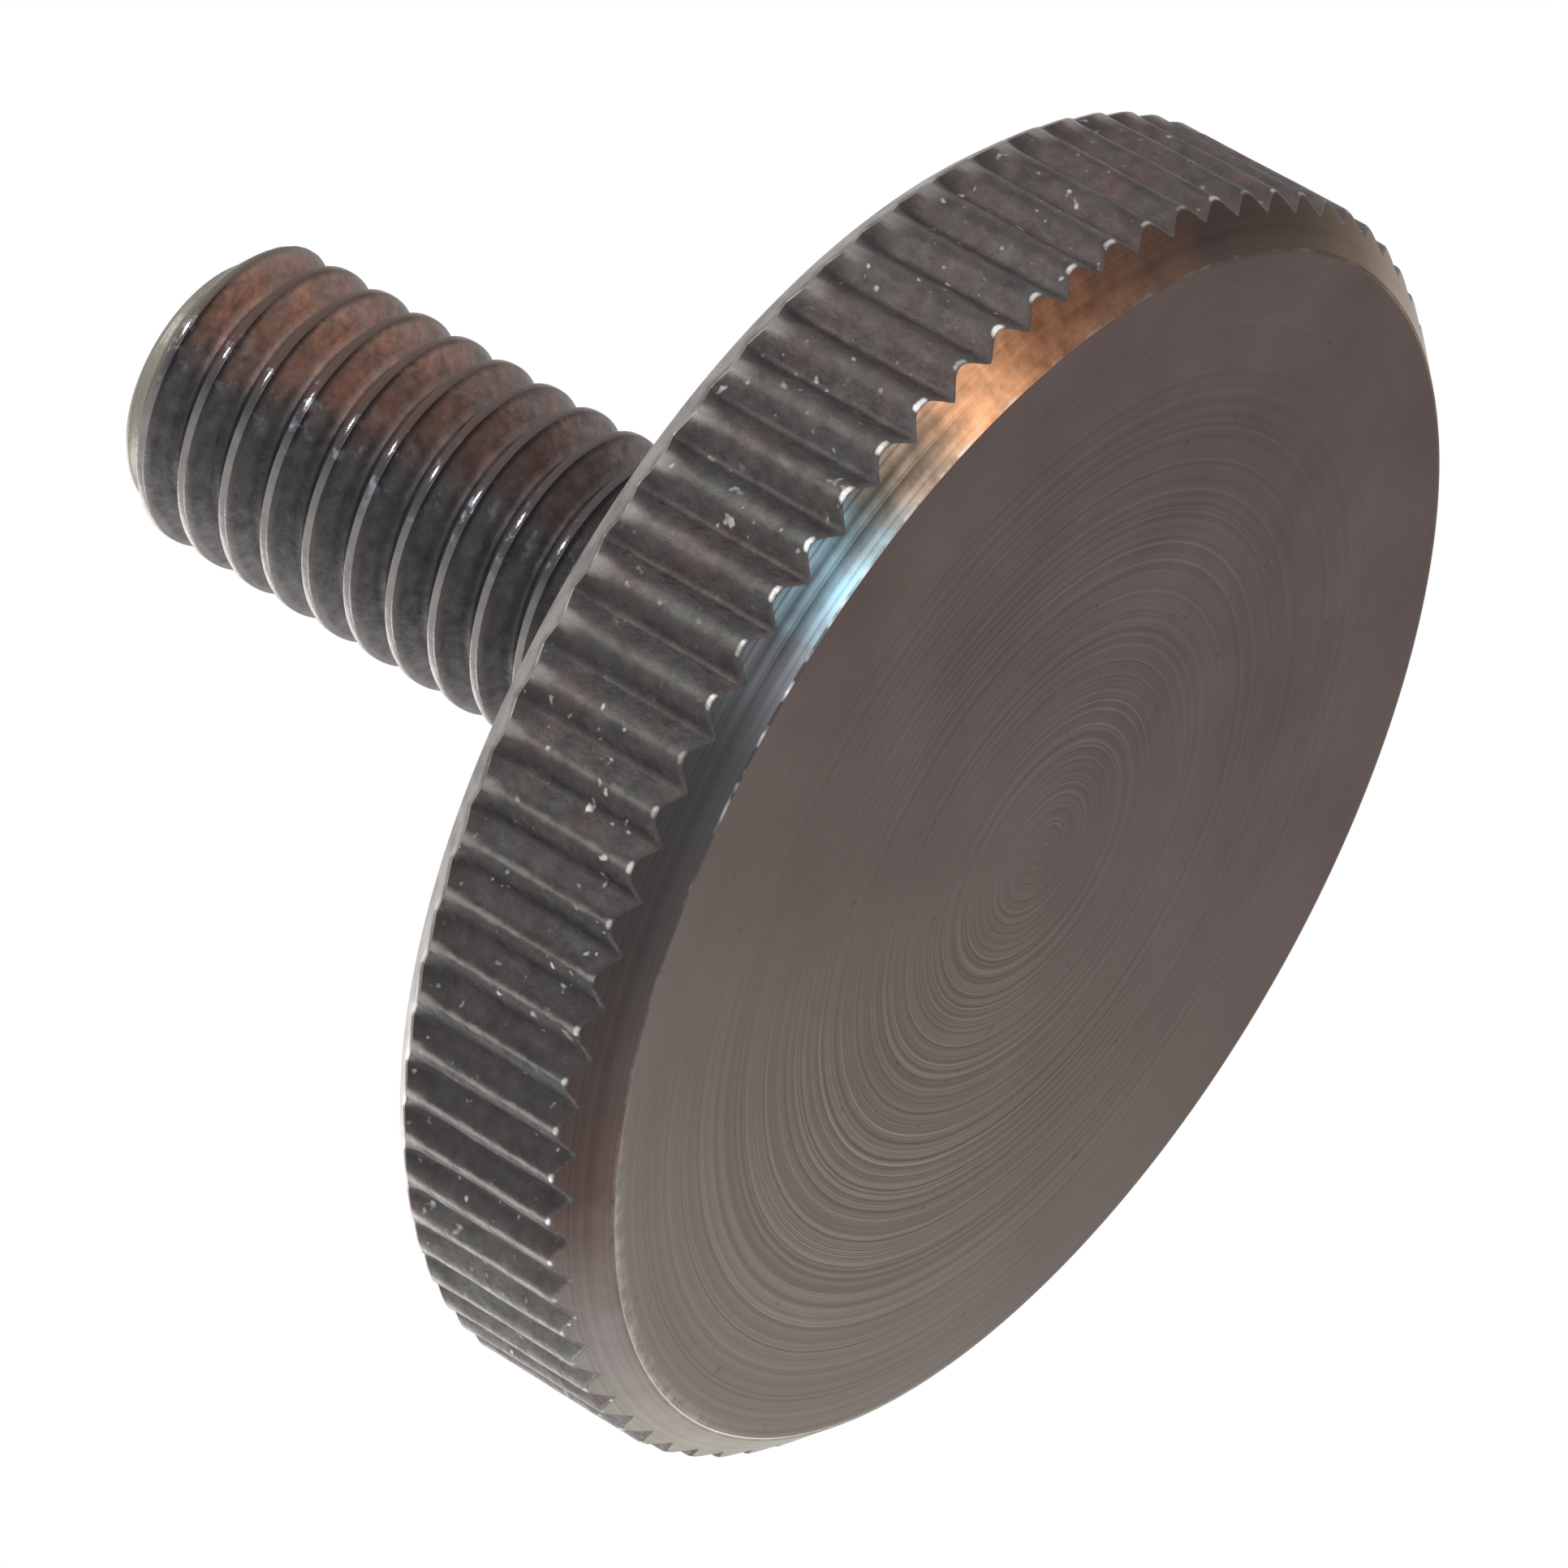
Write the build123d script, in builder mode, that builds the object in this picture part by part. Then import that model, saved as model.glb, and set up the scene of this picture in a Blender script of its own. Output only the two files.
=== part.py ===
"""Thumb screw: a wide, low knurled head and an M6 threaded shank, turned from one bar of steel.

It stands on its head. The head's flat face lies on z = 0, the shank rises along +Z, and the
turning axis is the Z axis. All lengths are in millimetres.
"""
import os
from math import pi, radians, tan

from build123d import *

# Head: a disc with a bright turned bevel at its face and a smaller one at its back
head_diameter = 25.0
head_height = 4.5
face_chamfer = 0.8
back_chamfer = 0.5

# Straight knurl: V grooves along the rim, with flat worn crests between them
knurl_count = 76
knurl_depth = 0.3
knurl_crest_share = 0.3

# Shank: the right-hand thread M6 x 1, measured over its crests
shank_length = 15.0
thread_diameter = 5.9
thread_pitch = 1.0
thread_depth_share = 0.58
thread_crest_share = 0.125
thread_flank_angle = 30.0
thread_chamfer = 0.6

# Neck: the plain relief between the head and the first turn of the thread
neck_length = 1.5
neck_inset = 0.1
crest_clearance = 0.07

# How far cutting shapes reach past what they cut, and the turns of spare bar at each end
cut_overrun = 0.05
spare_turns = 3

head_radius = head_diameter / 2
thread_radius = thread_diameter / 2
thread_bottom = head_height + neck_length
thread_top = head_height + shank_length

# The thread groove's section: two flanks, a narrow root, and an open mouth past the crests
flank_slope = tan(radians(thread_flank_angle))
thread_depth = thread_depth_share * thread_pitch
root_radius = thread_radius - thread_depth
neck_radius = root_radius - neck_inset
mouth_radius = thread_radius + cut_overrun
mouth_half_width = thread_pitch * (1 - thread_crest_share) / 2 + cut_overrun * flank_slope
root_half_width = mouth_half_width - (thread_depth + cut_overrun) * flank_slope

# The neck's fillet runs out on the back of the head just clear of the crests, so that a plate seats flat
neck_fillet = thread_depth + neck_inset + crest_clearance

# The groove starts and ends half way along the spare bar, which is parted off
spare_length = spare_turns * thread_pitch
helix_start = thread_bottom - spare_length / 2
helix_rise = thread_top - thread_bottom + spare_length

# The bevel at each end of the thread is a small triangle, turned round the axis
bevel_outer_radius = thread_radius + cut_overrun
bevel_inner_radius = thread_radius - thread_chamfer - cut_overrun
bevel_reach = thread_chamfer + cut_overrun

# One groove of the knurl is a V whose sides keep their slope out past the rim
knurl_pitch = pi * head_diameter / knurl_count
groove_half_width = knurl_pitch * (1 - knurl_crest_share) / 2
groove_reach = knurl_depth + cut_overrun
groove_reach_half_width = groove_half_width * groove_reach / knurl_depth
half_tooth_angle = 180 / knurl_count

with BuildPart() as shank:
    # Bar at the thread's full diameter, with spare length at both ends
    with BuildSketch(Plane.XY.offset(thread_bottom - spare_length)):
        Circle(thread_radius)
    extrude(amount=thread_top - thread_bottom + spare_length + spare_length)

    # Thread: one groove section carried along a helix
    with BuildLine() as thread_path:
        Helix(thread_pitch, helix_rise, thread_radius, center=(0, 0, helix_start))
    with BuildSketch(Plane.XZ) as thread_groove:
        Polygon(
            (root_radius, helix_start - root_half_width),
            (mouth_radius, helix_start - mouth_half_width),
            (mouth_radius, helix_start + mouth_half_width),
            (root_radius, helix_start + root_half_width),
            align=None,
        )
    sweep(thread_groove.sketch, path=thread_path.line, is_frenet=True, mode=Mode.SUBTRACT)

    # The spare bar is parted off at both ends
    split(bisect_by=Plane.XY.offset(thread_bottom), keep=Keep.TOP)
    split(bisect_by=Plane.XY.offset(thread_top), keep=Keep.BOTTOM)

    # The first and the last turn are bevelled
    with BuildSketch(Plane.XZ):
        with BuildLine():
            Polyline(
                (bevel_inner_radius, thread_top + cut_overrun),
                (bevel_outer_radius, thread_top + cut_overrun),
                (bevel_outer_radius, thread_top - bevel_reach),
                close=True,
            )
        make_face()
        with BuildLine():
            Polyline(
                (bevel_inner_radius, thread_bottom - cut_overrun),
                (bevel_outer_radius, thread_bottom - cut_overrun),
                (bevel_outer_radius, thread_bottom + bevel_reach),
                close=True,
            )
        make_face()
    revolve(axis=Axis.Z, mode=Mode.SUBTRACT)

with BuildPart() as thumb_screw:
    # Turned outline of the head and the neck, from the face's middle round the rim
    with BuildSketch(Plane.XZ) as outline:
        with BuildLine():
            Polyline(
                (0, 0),
                (head_radius - face_chamfer, 0),
                (head_radius, face_chamfer),
                (head_radius, head_height - back_chamfer),
                (head_radius - back_chamfer, head_height),
                (neck_radius, head_height),
                (neck_radius, thread_bottom),
                (0, thread_bottom),
                close=True,
            )
        make_face()
        neck_corner = outline.vertices().sort_by_distance((neck_radius, head_height))[0]
        fillet(neck_corner, neck_fillet)
    revolve(axis=Axis.Z)

    # Knurl: the grooves run the whole height of the rim and fade out on both bevels
    with BuildSketch(Plane.XY):
        with PolarLocations(head_radius - knurl_depth, knurl_count, start_angle=half_tooth_angle):
            Polygon(
                (0, 0),
                (groove_reach, groove_reach_half_width),
                (groove_reach, -groove_reach_half_width),
                align=None,
            )
    extrude(amount=head_height, mode=Mode.SUBTRACT)

    # The head and the shank are one bar of steel
    add(shank.part)

thumb_screw.part.label = "thumb_screw"
os.makedirs("parts", exist_ok=True)
export_step(thumb_screw.part, "parts/thumb_screw.step")
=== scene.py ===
"""Thumb screw: its finished skin, a plain studio and the photograph's view.

The screw stands on its head, with the head's face on z = 0 and the shank up along +Z. One watertight
skin takes the place of the plain solid: the turned face, the bright bevel, the worn straight knurl,
the back of the head, the neck, the rolled thread and the tip. Sizes are in millimetres until a mesh
is made.
"""
import logging
import math
from dataclasses import dataclass
from enum import IntEnum

import bpy
import numpy as np
from mathutils import Matrix, Vector


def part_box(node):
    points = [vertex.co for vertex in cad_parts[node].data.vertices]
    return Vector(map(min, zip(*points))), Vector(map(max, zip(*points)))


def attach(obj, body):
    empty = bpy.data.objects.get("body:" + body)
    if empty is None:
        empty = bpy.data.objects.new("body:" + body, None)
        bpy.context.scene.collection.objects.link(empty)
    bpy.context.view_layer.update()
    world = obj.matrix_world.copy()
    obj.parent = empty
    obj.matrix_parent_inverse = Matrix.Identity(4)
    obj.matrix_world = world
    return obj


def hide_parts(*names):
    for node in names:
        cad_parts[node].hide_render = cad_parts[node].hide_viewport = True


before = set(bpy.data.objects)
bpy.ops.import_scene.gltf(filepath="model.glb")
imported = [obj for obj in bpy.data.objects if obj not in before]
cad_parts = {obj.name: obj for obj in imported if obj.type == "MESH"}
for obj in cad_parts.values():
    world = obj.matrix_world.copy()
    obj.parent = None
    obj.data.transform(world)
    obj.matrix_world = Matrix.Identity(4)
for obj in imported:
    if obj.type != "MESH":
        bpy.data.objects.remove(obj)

logging.basicConfig(level=logging.INFO, format="%(name)s: %(message)s")
log = logging.getLogger("thumb_screw")

Array = np.ndarray
Socket = bpy.types.NodeSocket
Colour = tuple[float, float, float, float]
Feed = Socket | float | Colour

MM = 0.001
TURN = 2 * math.pi
HALF_TURN_SHARE = 0.5
NOISE_MIDDLE = 0.5
NODE = "thumb_screw"
PIECE = "turned_screw"
BODY = "root"


class Zone(IntEnum):
    """The stretches of the skin that have a finish of their own."""

    FACE = 0
    BEVEL = 1
    KNURL = 2
    BACK = 3
    THREAD = 4
    TIP = 5


@dataclass
class Patch:
    """A stretch of skin: points in mm, triangles, each triangle's zone, and two wear values a point.

    crest is 1 where the skin stands proud and 0 in a groove, and edge is 1 along a rounded edge.
    """

    points: Array
    triangles: Array
    zones: Array
    crest: Array
    edge: Array


def soft_step(share: Array, start_round: float, end_round: float) -> Array:
    """A ramp from 0 to 1 with rounded corners.

    The ramp is max(share, 0) and then min(that, 1), where each max and min is half the sum of its two
    terms plus or minus the root of their squared difference and a squared rounding.

    Args:
        share: Place along the ramp, 0 at its foot and 1 at its head.
        start_round: Rounding at the foot, as a share of the ramp.
        end_round: Rounding at the head, as a share of the ramp.

    Returns:
        The height of the ramp at each place.
    """
    foot = (share + np.sqrt(share**2 + start_round**2)) / 2
    return (foot + 1 - np.sqrt((foot - 1) ** 2 + end_round**2)) / 2


def mirrored(half: tuple[float, ...]) -> Array:
    """Shares of a whole pitch from those of its first half: each share, the middle, then 1 less each."""
    shares = np.array(half)
    return np.concatenate([shares, [0.5], 1 - shares[:0:-1]])


def ring(radius: Array | float, height: Array | float, angle: Array) -> Array:
    """Points round the axis: (r cos a, r sin a, h)."""
    across, along = radius * np.cos(angle), radius * np.sin(angle)
    return np.stack([across, along, np.broadcast_to(height, across.shape)], axis=-1)


def grid_patch(points: Array, index: Array, zones: list[Zone] | Array, crest: Array, edge: Array) -> Patch:
    """Two triangles for each cell of a grid of point numbers.

    Args:
        points: Points in mm, in any grid shape.
        index: Point numbers, rows by columns, with the closing column if there is one.
        zones: Zone of each gap between rows.
        crest: Crest value of each point.
        edge: Edge value of each point.

    Returns:
        The patch.
    """
    near, near_next = index[:-1, :-1], index[:-1, 1:]
    far, far_next = index[1:, :-1], index[1:, 1:]
    triangles = np.stack([near, near_next, far_next, near, far_next, far], axis=-1).reshape(-1, 3)
    cell_zones = np.repeat(np.asarray(zones, int), 2 * near.shape[1])
    return Patch(points.reshape(-1, 3), triangles, cell_zones, crest.ravel(), edge.ravel())


def turned_patch(
    radius: Array, height: Array, angle: Array, zones: list[Zone] | Array, crest: Array, edge: Array
) -> Patch:
    """A grid with one row for each place along a profile and one column for each angle round the axis.

    A point lies at (r cos a, r sin a, h). The last column joins the first, and the rows run so that
    the faces look outwards: from the axis out over the face, up the rim, in over the back and up.

    Args:
        radius: Distance from the axis, rows by columns.
        height: Height, rows by columns.
        angle: Angle of each column.
        zones: Zone of each gap between rows.
        crest: How proud each point stands, rows by columns.
        edge: How close each point is to a rounded edge, rows by columns.

    Returns:
        The patch.
    """
    index = np.arange(radius.size).reshape(radius.shape)
    index = np.hstack([index, index[:, :1]])
    return grid_patch(ring(radius, height, angle), index, zones, crest, edge)


def round_rows(radii: Array, heights: Array | float, angle: Array, zones: list[Zone]) -> Patch:
    """Round rows with no wear on them.

    Args:
        radii: Radius of each row.
        heights: Height of each row, or of all.
        angle: Angle of each column.
        zones: Zone of each gap between rows.

    Returns:
        The patch.
    """
    plain = np.zeros((len(radii), len(angle)))
    height = np.broadcast_to(heights, len(radii))
    return turned_patch(plain + radii[:, None], plain + height[:, None], angle, zones, plain, plain)


def stitched_patch(fine: Array, coarse: Array, outward: bool, zone: Zone) -> Patch:
    """A flat strip between a ring of many points and a ring with a whole fraction of them.

    Each coarse point fans out to the fine points nearest to it, and one triangle joins each fan to
    the next.

    Args:
        fine: Points of the fine ring.
        coarse: Points of the coarse ring, each in line with a fine one.
        outward: True where the profile runs from the coarse ring to the fine one.
        zone: Zone of the strip.

    Returns:
        The patch.
    """
    count, ratio = len(coarse), len(fine) // len(coarse)
    half = ratio // 2
    start = ratio * np.arange(count)[:, None]
    step = np.arange(ratio)
    this_one = np.arange(count)[:, None] + len(fine)
    next_one = (np.arange(count)[:, None] + 1) % count + len(fine)
    first, second = start + step, (start + step + 1) % len(fine)
    owner = np.where(step < half, this_one, next_one)
    fans = np.stack([first, second, owner], axis=-1).reshape(-1, 3)
    joins = np.hstack([start + half, next_one, this_one])
    triangles = np.concatenate([fans, joins])
    if outward:
        triangles = triangles[:, ::-1]
    points = np.concatenate([fine, coarse])
    plain = np.zeros(len(points))
    return Patch(points, triangles, np.full(len(triangles), int(zone)), plain, plain)


def weld(patches: list[Patch], reach: float = 1e-4) -> Patch:
    """Joins patches where their points meet, and drops triangles that have shrunk to a line.

    Args:
        patches: The patches.
        reach: Points that round to the same multiple of this, in mm, are one.

    Returns:
        One closed patch.
    """
    starts = np.cumsum([0] + [len(patch.points) for patch in patches])
    points = np.concatenate([patch.points for patch in patches])
    triangles = np.concatenate([patch.triangles + start for patch, start in zip(patches, starts)])
    zones = np.concatenate([patch.zones for patch in patches])
    crest = np.concatenate([patch.crest for patch in patches])
    edge = np.concatenate([patch.edge for patch in patches])
    key = np.round(points / reach).astype(np.int64)
    _, first, joined = np.unique(key, axis=0, return_index=True, return_inverse=True)
    triangles = joined.reshape(-1)[triangles]
    whole = (triangles != np.roll(triangles, 1, axis=1)).all(axis=1)
    return Patch(points[first], triangles[whole], zones[whole], crest[first], edge[first])


@dataclass
class Corner:
    """A corner of a turned profile, with a radius and a height for each column.

    trim is how far back from the corner its rounding starts, zone is the zone of the rounding and of
    the stretch that leaves it, and shares are where rows lie along that stretch.
    """

    radius: Array | float
    height: Array | float
    trim: float
    zone: Zone
    shares: tuple[float, ...]


def profile_rows(corners: list[Corner], columns: int, arc_rows: int) -> tuple[Array, Array, Array, Array]:
    """Rows along a profile of straight stretches with rounded corners.

    A rounding is the parabola from a point before the corner to the point as far after it, drawn
    towards the corner: (1-s)^2 start + 2 s (1-s) corner + s^2 end. Its edge value is sin(pi s).

    Args:
        corners: The corners in order. The first and the last are ends, with no rounding.
        columns: How many columns the grid has.
        arc_rows: Rows in each rounding.

    Returns:
        Radius and height, rows by columns, the zone of each gap between rows, and each row's edge value.
    """
    places = [
        np.stack([np.broadcast_to(c.radius, columns), np.broadcast_to(c.height, columns)], axis=-1)
        for c in corners
    ]
    share = np.linspace(0, 1, arc_rows)[:, None, None]
    rows, zones, edges = [], [], []
    leave = places[0]
    for number, corner in enumerate(corners):
        place = places[number]
        if 0 < number < len(corners) - 1:
            before = places[number - 1] - place
            after = places[number + 1] - place
            start = place + corner.trim * before / np.linalg.norm(before, axis=-1, keepdims=True)
            leave = place + corner.trim * after / np.linalg.norm(after, axis=-1, keepdims=True)
            rows.append((1 - share) ** 2 * start + 2 * share * (1 - share) * place + share**2 * leave)
            zones += [corner.zone] * arc_rows
            edges.append(np.sin(np.pi * share[:, 0, 0]))
        else:
            rows.append(place[None])
            zones.append(corner.zone)
            edges.append(np.zeros(1))
        if number < len(corners) - 1:
            ahead = places[number + 1]
            step = ahead - leave
            trim = corners[number + 1].trim
            arrive = ahead - trim * step / np.linalg.norm(step, axis=-1, keepdims=True)
            between = np.array(corner.shares)[:, None, None]
            rows.append(leave + between * (arrive - leave))
            zones += [corner.zone] * len(corner.shares)
            edges.append(np.zeros(len(corner.shares)))
    grid = np.concatenate(rows)
    return grid[..., 0], grid[..., 1], np.array(zones[:-1]), np.concatenate(edges)


@dataclass
class Head:
    """The low disc head: turned face, bevels and straight knurl. Lengths in mm."""

    radius: float
    height: float = 4.5
    face_chamfer: float = 0.8
    back_chamfer: float = 0.5

    # Roundings: how far back from a corner each one starts
    face_edge: float = 0.045
    tooth_edge: float = 0.07
    back_edge: float = 0.06

    # Knurl: its crests and roundings as shares of a tooth, and how uneven its teeth are
    knurl_count: int = 76
    knurl_depth: float = 0.3
    crest_share: float = 0.3
    crest_round_share: float = 0.30
    root_round_share: float = 0.22
    depth_spread_share: float = 0.14
    crest_spread_share: float = 0.16
    seed: int = 11

    # The sine waves along the axis that make a crest's width uneven
    wobble_share: float = 0.16
    long_wave: float = 2.6
    short_wave: float = 0.9
    short_wave_share: float = 0.6

    # The knurl's run-out at the back: how long it is, and what share of the depth it takes
    run_out: float = 0.35
    run_out_share: float = 0.5
    run_out_round_share: float = 0.3

    # Rings where the fine columns of the rim meet the coarse columns of the face and of the back
    face_stitch: tuple[float, float] = (8.0, 7.4)
    back_stitch: tuple[float, float] = (9.0, 8.4)

    # Where columns lie from the middle of a crest to the middle of a groove, and rows along the profile
    tooth_shares: tuple[float, ...] = (0.0, 0.09, 0.15, 0.21, 0.32, 0.43)
    inner_face_radii: tuple[float, ...] = (0.0, 0.5, 1.6, 3.2, 5.2)
    face_shares: tuple[float, ...] = (0.4, 0.8, 0.97)
    bevel_shares: tuple[float, ...] = (0.08, 0.5, 0.92)
    back_bevel_shares: tuple[float, ...] = (0.5,)
    back_shares: tuple[float, ...] = (0.03, 0.5)
    rim_rows: int = 10
    arc_rows: int = 6

    def columns(self) -> Array:
        """Places of the columns, counted in teeth from +X, with a crest at each whole number."""
        return (np.arange(self.knurl_count)[:, None] + mirrored(self.tooth_shares)).ravel()

    def knurl_drop(self, place: Array, height: Array) -> Array:
        """How deep the knurl lies under the rim at each place.

        A groove is a V with rounded corners: with q the share of the way from a crest's edge to the
        groove's middle, the drop is the groove's depth times a soft step of q. Each groove has its own
        depth, and each crest a width that two sine waves along the axis make uneven. Close to the back
        bevel another soft step, of the height, brings the groove's floor up.

        Args:
            place: Place round the rim in teeth.
            height: Height above the face in mm.

        Returns:
            The drop in mm.
        """
        dice = np.random.default_rng(self.seed)
        depths = self.knurl_depth * (1 - self.depth_spread_share * dice.random(self.knurl_count))
        widths = self.crest_share * (1 + self.crest_spread_share * dice.uniform(-1, 1, self.knurl_count))
        long_start, short_start = dice.uniform(0, TURN, (2, self.knurl_count))
        tooth = np.round(place).astype(int) % self.knurl_count
        groove = np.floor(place).astype(int) % self.knurl_count
        long_sway = np.sin(TURN * height / self.long_wave + long_start[tooth])
        short_sway = np.sin(TURN * height / self.short_wave + short_start[tooth])
        sway = long_sway + self.short_wave_share * short_sway
        crest_half = widths[tooth] * (1 + self.wobble_share * sway) / 2
        away = np.abs(place - np.round(place))
        share = (away - crest_half) / (0.5 - crest_half)
        to_bevel = (height - self.height + self.back_chamfer) / self.run_out
        rise = soft_step(to_bevel + 1, self.run_out_round_share, self.run_out_round_share)
        depth = depths[groove] * (1 - self.run_out_share * rise)
        return depth * soft_step(share, self.crest_round_share, self.root_round_share)

    def corners(self, place: Array) -> list[Corner]:
        """The profile's corners, from the face's outer part round the rim to the back's.

        Each bevel is a cone at 45 degrees, so it meets the rim at a height that follows the rim's radius
        in that column: a zigzag round the head.

        Args:
            place: Place of each column in teeth.

        Returns:
            The corners.
        """
        face_radius = self.radius - self.face_chamfer
        back_radius = self.radius - self.back_chamfer
        back_start = self.height - self.back_chamfer
        front = self.radius - self.knurl_drop(place, np.full_like(place, self.face_chamfer))
        rear = self.radius - self.knurl_drop(place, np.full_like(place, back_start))
        rim_shares = tuple(np.linspace(0, 1, self.rim_rows + 2)[1:-1])
        return [
            Corner(self.face_stitch[0], 0.0, 0.0, Zone.FACE, self.face_shares),
            Corner(face_radius, 0.0, self.face_edge, Zone.BEVEL, self.bevel_shares),
            Corner(front, front - face_radius, self.tooth_edge, Zone.KNURL, rim_shares),
            Corner(rear, back_start + self.radius - rear, self.back_edge, Zone.BACK, self.back_bevel_shares),
            Corner(back_radius, self.height, self.back_edge, Zone.BACK, self.back_shares),
            Corner(self.back_stitch[0], self.height, 0.0, Zone.BACK, ()),
        ]

    def rim_patch(self, place: Array, angle: Array) -> Patch:
        """The rim with its bevels. Its radius in each column is the head's radius less the knurl's drop.

        Args:
            place: Place of each column in teeth.
            angle: Angle of each column.

        Returns:
            The patch.
        """
        radius, height, zones, edges = profile_rows(self.corners(place), len(place), self.arc_rows)
        row = np.arange(len(radius))
        on_rim = row > np.argmax(zones == Zone.KNURL) + self.arc_rows - 1
        on_rim &= row < np.argmax(zones == Zone.BACK)
        drop = self.knurl_drop(np.broadcast_to(place, radius.shape), height)
        radius = np.where(on_rim[:, None], self.radius - drop, radius)
        crest = np.broadcast_to(1 - 2 * np.abs(place - np.round(place)), radius.shape)
        edge = np.broadcast_to(edges[:, None], radius.shape)
        return turned_patch(radius, height, angle, zones, crest, edge)

    def build(self) -> tuple[list[Patch], Array]:
        """Builds the head's skin from the face's middle to the inner ring of its back.

        Returns:
            The patches, and the angles of the coarse columns.
        """
        place = self.columns()
        angle = TURN * place / self.knurl_count
        coarse = angle[:: len(self.tooth_shares)]
        rim = self.rim_patch(place, angle)
        face_outer, face_inner = self.face_stitch
        back_outer, back_inner = self.back_stitch
        face_radii = np.array([*self.inner_face_radii, face_inner])
        face = round_rows(face_radii, 0.0, coarse, [Zone.FACE] * len(self.inner_face_radii))
        fine_ring, coarse_ring = ring(face_outer, 0.0, angle), ring(face_inner, 0.0, coarse)
        face_strip = stitched_patch(fine_ring, coarse_ring, True, Zone.FACE)
        fine_ring, coarse_ring = ring(back_outer, self.height, angle), ring(back_inner, self.height, coarse)
        back_strip = stitched_patch(fine_ring, coarse_ring, False, Zone.BACK)
        return [face, face_strip, rim, back_strip], coarse


@dataclass
class Shank:
    """The neck, the right-hand thread and the tip. Lengths in mm."""

    bottom: float
    top: float

    # Thread: its depth, crest and roundings, as shares of the pitch or of a flank
    thread_radius: float = 2.95
    pitch: float = 1.0
    depth_share: float = 0.58
    crest_share: float = 0.165
    flank_angle: float = 30.0
    crest_round_share: float = 0.045
    root_round_share: float = 0.22

    # End bevels: their size, and the drop over which they take the worn crest away
    chamfer: float = 0.6
    crest_fade: float = 0.15

    # Neck: its length, how far it lies under the thread's root, and its fillet's clearance to the crests
    neck_length: float = 1.5
    neck_inset: float = 0.1
    crest_clearance: float = 0.07

    # Rows of the neck: one on the head's back, those of the fillet, and one just under the thread
    back_row_radius: float = 5.0
    fillet_rows: int = 9
    last_neck_row: float = 0.05

    # Rows of the tip: its rounding, as shares of tip_edge out from the end circle and down, and its rings
    tip_edge: float = 0.03
    tip_out_shares: tuple[float, ...] = (1.0, 0.3, -0.5, -3.0)
    tip_down_shares: tuple[float, ...] = (1.0, 0.3, 0.0, 0.0)
    tip_radii: tuple[float, ...] = (1.5, 0.7, 0.25, 0.0)

    # Rows of one turn, from the middle of the crest to the middle of the groove, and turns to spare
    turn_shares: tuple[float, ...] = (0.0, 0.04, 0.07, 0.0825, 0.095, 0.12, 0.19, 0.27, 0.35, 0.43)
    turns_before: int = 2
    turns_after: int = 1

    def thread_profile(self, place: Array) -> tuple[Array, Array]:
        """The thread's radius at a place along the axis, counted in turns from the middle of a crest.

        With q the share of the way down a flank, the radius is the crest's less the depth times a soft
        step of q.

        Args:
            place: Place in turns.

        Returns:
            The radius in mm, and how proud the thread stands, from 0 to 1.
        """
        away = np.abs(place - np.round(place))
        flank = self.depth_share * math.tan(math.radians(self.flank_angle))
        share = (away - self.crest_share / 2) / flank
        step = soft_step(share, self.crest_round_share, self.root_round_share)
        return self.thread_radius - self.depth_share * self.pitch * step, 1 - step

    def neck_patch(self, inner_ring: float, coarse: Array) -> Patch:
        """The head's inner back, the fillet as a quarter circle, the neck and the thread's lower end.

        Args:
            inner_ring: Radius where the head's back ends.
            coarse: Angles of the columns.

        Returns:
            The patch.
        """
        depth = self.depth_share * self.pitch
        neck_radius = self.thread_radius - depth - self.neck_inset
        fillet = depth + self.neck_inset + self.crest_clearance
        thread_bottom = self.bottom + self.neck_length
        swing = np.linspace(0, math.pi / 2, self.fillet_rows)
        back_radii = [inner_ring, self.back_row_radius]
        fillet_radii = neck_radius + fillet * (1 - np.sin(swing))
        fillet_heights = self.bottom + fillet * (1 - np.cos(swing))
        end_radii = [neck_radius, neck_radius, self.thread_radius - self.chamfer]
        end_heights = [thread_bottom - self.last_neck_row, thread_bottom, thread_bottom]
        radii = np.concatenate([back_radii, fillet_radii, end_radii])
        heights = np.concatenate([[self.bottom] * len(back_radii), fillet_heights, end_heights])
        back_gaps = len(radii) - 1 - len(end_radii)
        return round_rows(radii, heights, coarse, [Zone.BACK] * back_gaps + [Zone.THREAD] * len(end_radii))

    def thread_patch(self, coarse: Array) -> Patch:
        """The helical grid: height = pitch (turns + angle / full turn), held between the two ends.

        A row that leaves the threaded length is held at its end, where the bevel's cone has cut the
        thread down to a plain circle.

        Args:
            coarse: Angles of the columns, to which one full turn is added.

        Returns:
            The patch.
        """
        thread_bottom = self.bottom + self.neck_length
        angle = np.append(coarse, coarse[0] + TURN)
        first = math.floor(thread_bottom / self.pitch) - self.turns_before
        last = math.ceil(self.top / self.pitch) + self.turns_after
        turns = (np.arange(first, last)[:, None] + mirrored(self.turn_shares)).ravel()
        height = self.pitch * (turns[:, None] + angle / TURN)
        height = np.clip(height, thread_bottom, self.top - self.tip_edge)
        radius, crest = self.thread_profile(height / self.pitch - angle / TURN)
        to_end = np.minimum(self.top - height, height - thread_bottom)
        cone = self.thread_radius - self.chamfer + to_end
        left = np.clip(1 - (radius - cone) / self.crest_fade, 0, 1)
        crest = np.where(cone < radius, left * crest, crest)
        radius = np.minimum(radius, cone)
        index = np.arange(radius.size).reshape(radius.shape)
        zones = [Zone.THREAD] * (len(turns) - 1)
        return grid_patch(ring(radius, height, angle), index, zones, crest, np.zeros(radius.shape))

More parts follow.
